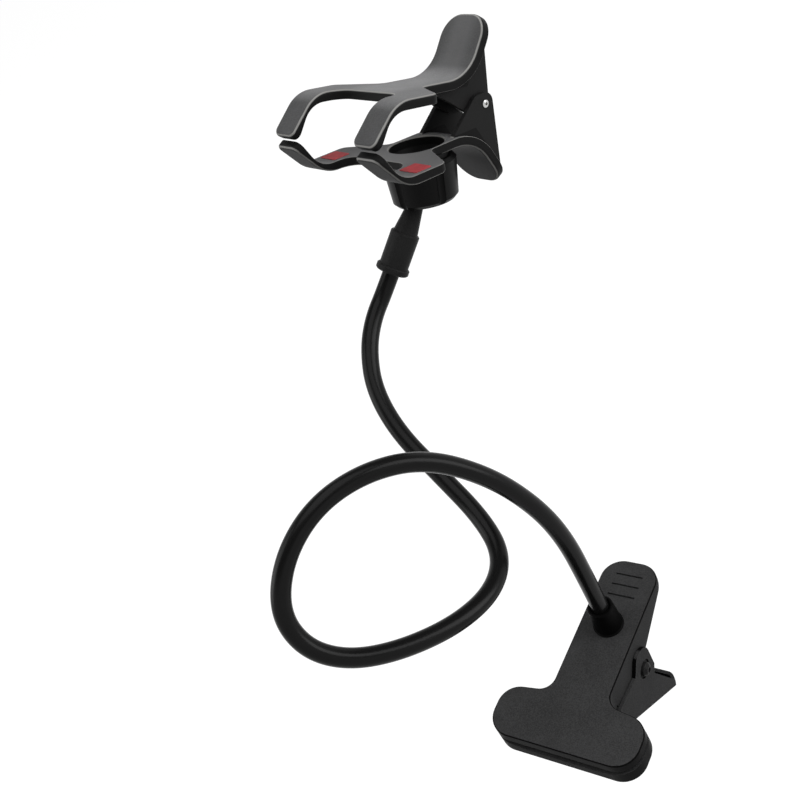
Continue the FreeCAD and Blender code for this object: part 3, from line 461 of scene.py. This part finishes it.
def lower_grey(spot, speckle):
    # Painted shade: darker on the underside, most of all on the hooks.
    underside_shade = (0 - spot.inward_share).step(*UNDERSIDE_SHADE_LEAN)
    painted_shade = underside_shade * (UNDERSIDE_SHADE_SHARE + HOOK_SHADE_SHARE * spot.hook_lean.step(*HOOK_SHADE_LEAN))
    grey = spot.finish.mix(painted_shade, grey_with_paddle_highlight(spot, speckle), CLIP_BLACK)
    # Painted highlight: paler on the inner face.
    inner_highlight = INNER_HIGHLIGHT_SHARE * spot.inward_share.step(*INNER_HIGHLIGHT_LEAN)
    return spot.finish.mix(inner_highlight, grey, shade(SOFT_GREY, INNER_HIGHLIGHT_SHADE))


def upper_grey(spot, speckle):
    # Painted sheen: paler where the outer face lies flat and faces up, most of all in the middle.
    flat = (0 - spot.inward_share).step(*FLAT_LEAN)
    middle = 1 - spot.right.step(*MIDDLE_SPREAD)
    painted_sheen = spot.finish.mix(speckle, *shades(SOFT_GREY, FLAT_SHEEN_SHADES))
    sheen_share = flat * (FLAT_SHEEN_SHARE + MIDDLE_SHEEN_SHARE * middle)
    return spot.finish.mix(sheen_share, grey_with_paddle_highlight(spot, speckle), painted_sheen)


CLIP_GREYS = {"lower": lower_grey, "upper": upper_grey}
print("greys for the clip's halves:", list(CLIP_GREYS))

# %% [markdown]
# Now the masks lay the coat on. Where the surface turns away from the broad face, a thin pale line is painted
# first, a painted highlight on the rounded rim, and then the black edge, painted shade on the faces that turn
# away. The cheeks are plain moulded plastic, a slightly lighter black than the edges.

# %% Clip coat
RIM_HIGHLIGHT_GREY = (0.26, 0.257, 0.247)
CHEEK_BLACK = (0.017, 0.017, 0.017)
EDGE_SPECKLE = (0.8, 1.2)
RIM_HIGHLIGHT_START = (0.25, 0.5)
RIM_HIGHLIGHT_END = (0.7, 0.88)
SHADED_EDGE = (0.8, 0.93)
COAT_SHINE = 0.06
COAT_ROUGHNESS = 0.5
COAT_SPREAD = 0.08
EDGE_GLOSS = 0.06
COAT_GRAIN = 0.7 * MM
COAT_GRAIN_SHARE = 0.6
COAT_MOTTLE = 12 * MM
COAT_DEPTH = 0.02 * MM


def soft_touch(name, half):
    finish = new_finish(name, Specular_IOR_Level=COAT_SHINE)
    spot = ClipSpot(finish, half)
    fine = finish.noise(COAT_GRAIN)
    mottle = finish.noise(COAT_MOTTLE)
    speckle = (COAT_GRAIN_SHARE * fine + (1 - COAT_GRAIN_SHARE) * mottle).step(*NOISE_SPAN)
    grey = CLIP_GREYS[half](spot, speckle)
    turned = spot.turned()
    # Painted highlight: a thin pale line where the rounded rim turns from the broad face.
    rim_highlight = turned.step(*RIM_HIGHLIGHT_START) * (1 - turned.step(*RIM_HIGHLIGHT_END))
    # Painted shade: black where a face turns away from the broad face; the socket is black plastic.
    dark = turned.step(*SHADED_EDGE)
    if half == "lower":
        dark = dark.largest(spot.socket())
    black = finish.mix(fine, *shades(CLIP_BLACK, EDGE_SPECKLE))
    coat = finish.mix(dark, finish.mix(rim_highlight, grey, RIM_HIGHLIGHT_GREY), black)
    finish.set("Base Color", finish.mix(spot.cheek(), coat, CHEEK_BLACK))
    finish.set("Roughness", COAT_ROUGHNESS + COAT_SPREAD * mottle - EDGE_GLOSS * dark)
    finish.bump(fine, COAT_DEPTH)
    return finish.owner


clip_finish = {half: soft_touch(f"clip_{half}_coat", half) for half in CLIP_GREYS}
print("clip coats:", [material.name for material in clip_finish.values()])

# %% [markdown]
# The grip pads on the fingers are red rubber, and the clamp's jaw pads are black rubber. Rubber is matt
# and blooms unevenly, so broad noise varies its colour and its gloss, and fine noise gives it a skin.

# %% Rubber
GRIP_RED = (0.46, 0.055, 0.062)
PAD_BLACK = (0.012, 0.012, 0.012)
RUBBER_SHINE = 0.3
RUBBER_ROUGHNESS = 0.62
RUBBER_SPREAD = 0.15
RUBBER_GRAIN = 0.5 * MM
RUBBER_BLOOM = 5 * MM
RUBBER_SHADES = (0.85, 1.1)
RUBBER_DEPTH = 0.02 * MM


def rubber(name, colour):
    finish = new_finish(name, Specular_IOR_Level=RUBBER_SHINE)
    bloom = finish.noise(RUBBER_BLOOM, detail=2.0)
    finish.set("Base Color", finish.mix(bloom.step(*NOISE_SPAN), *shades(colour, RUBBER_SHADES)))
    finish.set("Roughness", RUBBER_ROUGHNESS + RUBBER_SPREAD * bloom)
    finish.bump(finish.noise(RUBBER_GRAIN), RUBBER_DEPTH)
    return finish.owner


grip_rubber = rubber("red_rubber", GRIP_RED)
pad_rubber = rubber("black_rubber", PAD_BLACK)
print("rubbers:", grip_rubber.name, pad_rubber.name)

# %% [markdown]
# Rivets, springs, nut and end fittings are plain zinc-plated steel. Zinc dulls in patches and picks up
# fine scratches, so one noise stains the colour and a finer one breaks up the gloss.

# %% Steel
ZINC = (0.60, 0.60, 0.59)
STEEL_ROUGHNESS = 0.24
STAIN_SIZE = 2.5 * MM
STAIN_SHADE = 0.8
SCRATCH_SIZE = 0.25 * MM
SCRATCH_SPREAD = 0.14
SCRATCH_DEPTH = 0.004 * MM


def plated_steel(name):
    finish = new_finish(name, Metallic=1.0)
    stain = finish.noise(STAIN_SIZE)
    scratch = finish.noise(SCRATCH_SIZE, detail=2.0)
    finish.set("Base Color", finish.mix(stain.step(*NOISE_SPAN), shade(ZINC, STAIN_SHADE), ZINC))
    finish.set("Roughness", STEEL_ROUGHNESS + SCRATCH_SPREAD * scratch)
    finish.bump(scratch, SCRATCH_DEPTH)
    return finish.owner


steel = plated_steel("plated_steel")
print("metal:", steel.name)

# %% [markdown]
# The arm is a coiled steel core in a smooth black jacket. Its solid follows straight runs and arcs, and
# its highlights show where one meets the next. A smooth spline with the same points gives the even bends
# of the real arm. The points are in millimetres from the boss's foot, as in the part's source.

# %% Arm line
BOSS_FOOT = Vector((0, BOSS_DEPTH, CLAMP_TOP))
NECK_AXIS = Vector(JOINTS["ball_swivel"]["axis"])
ARM_END_RUN = 20 * MM
ARM_SMOOTHNESS = 24
ARM_ROUTE = [
    (0, 0, 2.7),
    (0, 0, 40),
    (-1, 0, 76),
    (-6, -3, 104),
    (-16, -11, 134),
    (-31, -25, 160),
    (-45, -45, 173),
    (-57, -68, 176),
    (-65, -90, 167),
    (-67, -107, 150),
    (-60, -112, 132),
    (-48, -106, 117),
    (-34, -90, 105),
    (-21, -66, 94),
    (-16, -42, 87),
    (-22, -21, 85),
    (-39, -6, 90),
    (-64, 6, 103),
    (-88, 17, 118),
    (-104, 31, 132),
    (-111, 47, 143.5),
    (-113, 62, 151),
    (-110.6, 77, 157.5),
]


def arm_points():
    """Points of the smooth spline that has the route's points as its control points."""
    route = [BOSS_FOOT + Vector(point) * MM for point in ARM_ROUTE]
    route.append(route[-1] + NECK_AXIS * ARM_END_RUN)
    curve = bpy.data.curves.new("arm_route", "CURVE")
    curve.dimensions = "3D"
    spline = curve.splines.new("NURBS")
    spline.points.add(len(route) - 1)
    for point, place in zip(spline.points, route):
        point.co = (*place, 1.0)
    spline.order_u = 3
    spline.use_endpoint_u = True
    spline.resolution_u = ARM_SMOOTHNESS
    carrier = bpy.data.objects.new("arm_route", curve)
    line = bpy.data.meshes.new_from_object(carrier)
    points = [vertex.co.copy() for vertex in line.vertices]
    bpy.data.objects.remove(carrier)
    bpy.data.meshes.remove(line)
    bpy.data.curves.remove(curve)
    return points


arm_line = arm_points()
arm_length = sum((after - before).length for before, after in zip(arm_line, arm_line[1:]))
print("arm", round(arm_length, 3), "m long")

# %% [markdown]
# A curve's own bevel would give a tube, but the arm is built ring by ring here: each ring's first corner
# is carried along without twist, so the jacket has no seam that winds, and flat caps close both ends.

# %% Arm tube
ARM_DIAMETER = 9 * MM
ARM_SIDES = 40


def arm_rings(points):
    """Corners of a ring round each point of the line."""
    padded = [points[0], *points, points[-1]]
    tangents = [(after - before).normalized() for before, after in zip(padded, padded[2:])]
    side = tangents[0].orthogonal().normalized()
    corners = []
    for point, tangent in zip(points, tangents):
        side = (side - tangent * side.dot(tangent)).normalized()
        other = tangent.cross(side)
        for step in range(ARM_SIDES):
            angle = math.tau * step / ARM_SIDES
            corners.append(point + (side * math.cos(angle) + other * math.sin(angle)) * ARM_DIAMETER / 2)
    return corners


def arm_faces(rings):
    """Four-sided faces from each ring to the next, and a cap on each end."""
    faces = []
    for first in range(0, (rings - 1) * ARM_SIDES, ARM_SIDES):
        second = first + ARM_SIDES
        for step in range(ARM_SIDES):
            following = (step + 1) % ARM_SIDES
            faces.append((first + step, first + following, second + following, second + step))
    last = (rings - 1) * ARM_SIDES
    return faces + [tuple(reversed(range(ARM_SIDES))), tuple(range(last, last + ARM_SIDES))]


def arm_tube(points):
    mesh = bpy.data.meshes.new("arm_jacket")
    mesh.from_pydata(arm_rings(points), [], arm_faces(len(points)))
    mesh.shade_smooth()
    for cap in mesh.polygons[-2:]:
        cap.use_smooth = False
    tube = bpy.data.objects.new("arm_jacket", mesh)
    bpy.context.scene.collection.objects.link(tube)
    return tube


arm = arm_tube(arm_line)
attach(arm, "base")
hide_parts("gooseneck")
print("arm tube of", len(arm.data.polygons), "faces")

# %% [markdown]
# The jacket is a glossy black skin. Its colour is nearly even, so what the eye sees is the gloss: a broad
# haze varies it along the arm, and a shallow ripple in the bump breaks the long highlights a little.

# %% Arm jacket
JACKET_BLACKS = ((0.005, 0.005, 0.005), (0.008, 0.008, 0.008))
JACKET_SHINE = 0.1
JACKET_ROUGHNESS = 0.2
HAZE_SIZE = 30 * MM
HAZE_SPREAD = 0.08
RIPPLE_SIZE = 1.5 * MM
RIPPLE_DEPTH = 0.02 * MM


def jacket_finish():
    finish = new_finish("jacket", Specular_IOR_Level=JACKET_SHINE)
    haze = finish.noise(HAZE_SIZE, detail=2.0)
    finish.set("Base Color", finish.mix(haze, *JACKET_BLACKS))
    finish.set("Roughness", JACKET_ROUGHNESS + HAZE_SPREAD * haze)
    finish.bump(finish.noise(RIPPLE_SIZE, detail=2.0), RIPPLE_DEPTH)
    return finish.owner


arm.data.materials.append(jacket_finish())
print("arm finish:", arm.data.materials[0].name)

# %% [markdown]
# Every other solid keeps its shape and only takes a finish. The record names a material slot for each
# solid, so a table from slot to finish dresses most of them; the clip's halves and the knob have finishes
# of their own.

# %% Dressing the solids
SLOT_FINISHES = {
    "clamp_plastic": clamp_plastic,
    "pad_rubber": pad_rubber,
    "steel": steel,
    "joint_plastic": neck_plastic,
    "grip_rubber": grip_rubber,
}


def dress(name, material):
    data = frame["nodes"][name].data
    data.materials.clear()
    data.materials.append(material)


for part in frame["record"]["subparts"]:
    if part["material_slot"] in SLOT_FINISHES:
        dress(part["node"], SLOT_FINISHES[part["material_slot"]])
for half, material in clip_finish.items():
    dress(f"{half}_clip", material)
dress("lock_knob", knob_plastic)
print("dressed", len(frame["nodes"]), "solids")

# %% [markdown]
# A torsion spring winds up as its hinge opens, and a stiff one would cut through a lever. A copy of each
# spring's solid is drawn in its place, and the solid itself is hidden.


def wound_spring(name):
    spring = bpy.data.objects.new(f"wound_{name}", frame["nodes"][name].data.copy())
    bpy.context.scene.collection.objects.link(spring)
    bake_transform(spring)
    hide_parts(name)
    return spring


clamp_winding = wound_spring("clamp_spring")
clip_winding = wound_spring("clip_spring")
print("springs wind:", clamp_winding.name, clip_winding.name)

# %% [markdown]
# The studio has white walls and a dark ceiling, so that black plastic stays dark on top and shows pale
# reflections at its sides. Camera, glossy and transmitted rays meet the walls as white, while the light
# that the walls send to the holder stays at a plain level.

# %% Surround
WHITE = (1.0, 1.0, 1.0)
WALL_LEVEL = 0.3
CEILING_LEVEL = 0.05
CEILING_SPAN = (0.3, 0.62)


def seen(finish):
    """One for rays from the camera, glossy rays and transmitted rays, zero for the rest."""
    paths = [finish.node("ShaderNodeLightPath", output=f"Is {kind} Ray")
             for kind in ("Camera", "Glossy", "Transmission")]
    return paths[0].largest(paths[1]).largest(paths[2])


def surround():
    world = bpy.data.worlds.new("surround")
    finish = Finish(world, Color=shade(WHITE, WALL_LEVEL))
    direction = finish.node("ShaderNodeTexCoord", output="Generated")
    ceiling = finish.along(direction, (0, 0, 1)).step(*CEILING_SPAN)
    room = finish.mix(ceiling, WHITE, shade(WHITE, CEILING_LEVEL))
    white = finish.node("ShaderNodeBackground", None, {"Color": room})
    dim = Wire(finish, finish.shader.outputs[0])
    finish.surface(finish.node("ShaderNodeMixShader", None, {0: seen(finish), 1: dim, 2: white}))
    return world


bpy.context.scene.world = surround()
bpy.context.scene.view_settings.view_transform = "Standard"
print("world:", bpy.context.scene.world.name)

# %% [markdown]
# The floor lies well below, because the holder hangs on a table's edge. It glows white to the rays that
# see it and keeps the holder's shadow, since the glow only adds to a grey that the lamps light.

# %% Floor
FLOOR_DROP = 0.12
FLOOR_HALF = 6.0
FLOOR_GREY = (0.18, 0.18, 0.18)
FLOOR_GLOW = 0.92


def floor_finish():
    finish = new_finish("floor_white", Base_Color=FLOOR_GREY, Roughness=1.0, Specular_IOR_Level=0.0)
    dim = Wire(finish, finish.shader.outputs[0])
    glow = finish.node("ShaderNodeEmission", None, {"Color": WHITE, "Strength": FLOOR_GLOW})
    white = finish.node("ShaderNodeAddShader", None, {0: dim, 1: glow})
    finish.surface(finish.node("ShaderNodeMixShader", None, {0: seen(finish), 1: dim, 2: white}))
    return finish.owner


def floor():
    level = CAD_BOX[0].z - FLOOR_DROP
    mesh = bpy.data.meshes.new("floor")
    corners = [(x * FLOOR_HALF, y * FLOOR_HALF, level) for x, y in ((-1, -1), (1, -1), (1, 1), (-1, 1))]
    mesh.from_pydata(corners, [], [(0, 1, 2, 3)])
    mesh.materials.append(floor_finish())
    ground = bpy.data.objects.new("floor", mesh)
    bpy.context.scene.collection.objects.link(ground)
    return level


print("floor at", round(floor(), 3), "m")

# %% [markdown]
# Three wide lamps give soft studio light: one overhead for the top faces and one on each side, which draw
# the long highlights on the arm. Each looks at the middle of the holder.

# %% Lamps
LAMPS = {
    "overhead": {"place": (0.0, 0.1, 1.3), "sides": (1.2, 1.2), "watts": 9.0},
    "left": {"place": (-1.1, -0.6, 0.7), "sides": (0.7, 1.2), "watts": 6.0},
    "right": {"place": (1.0, 0.5, 0.6), "sides": (0.6, 1.2), "watts": 9.0},
}


def lamp(name, place, sides, watts):
    data = bpy.data.lights.new(name, "AREA")
    data.shape = "RECTANGLE"
    data.size, data.size_y = sides
    data.energy = watts
    light = bpy.data.objects.new(name, data)
    target = (CAD_BOX[0] + CAD_BOX[1]) / 2
    light.location = place
    light.rotation_mode = "QUATERNION"
    light.rotation_quaternion = (target - Vector(place)).to_track_quat("-Z", "Y")
    bpy.context.scene.collection.objects.link(light)


for lamp_name, settings in LAMPS.items():
    lamp(lamp_name, **settings)
print("lamps:", list(LAMPS))
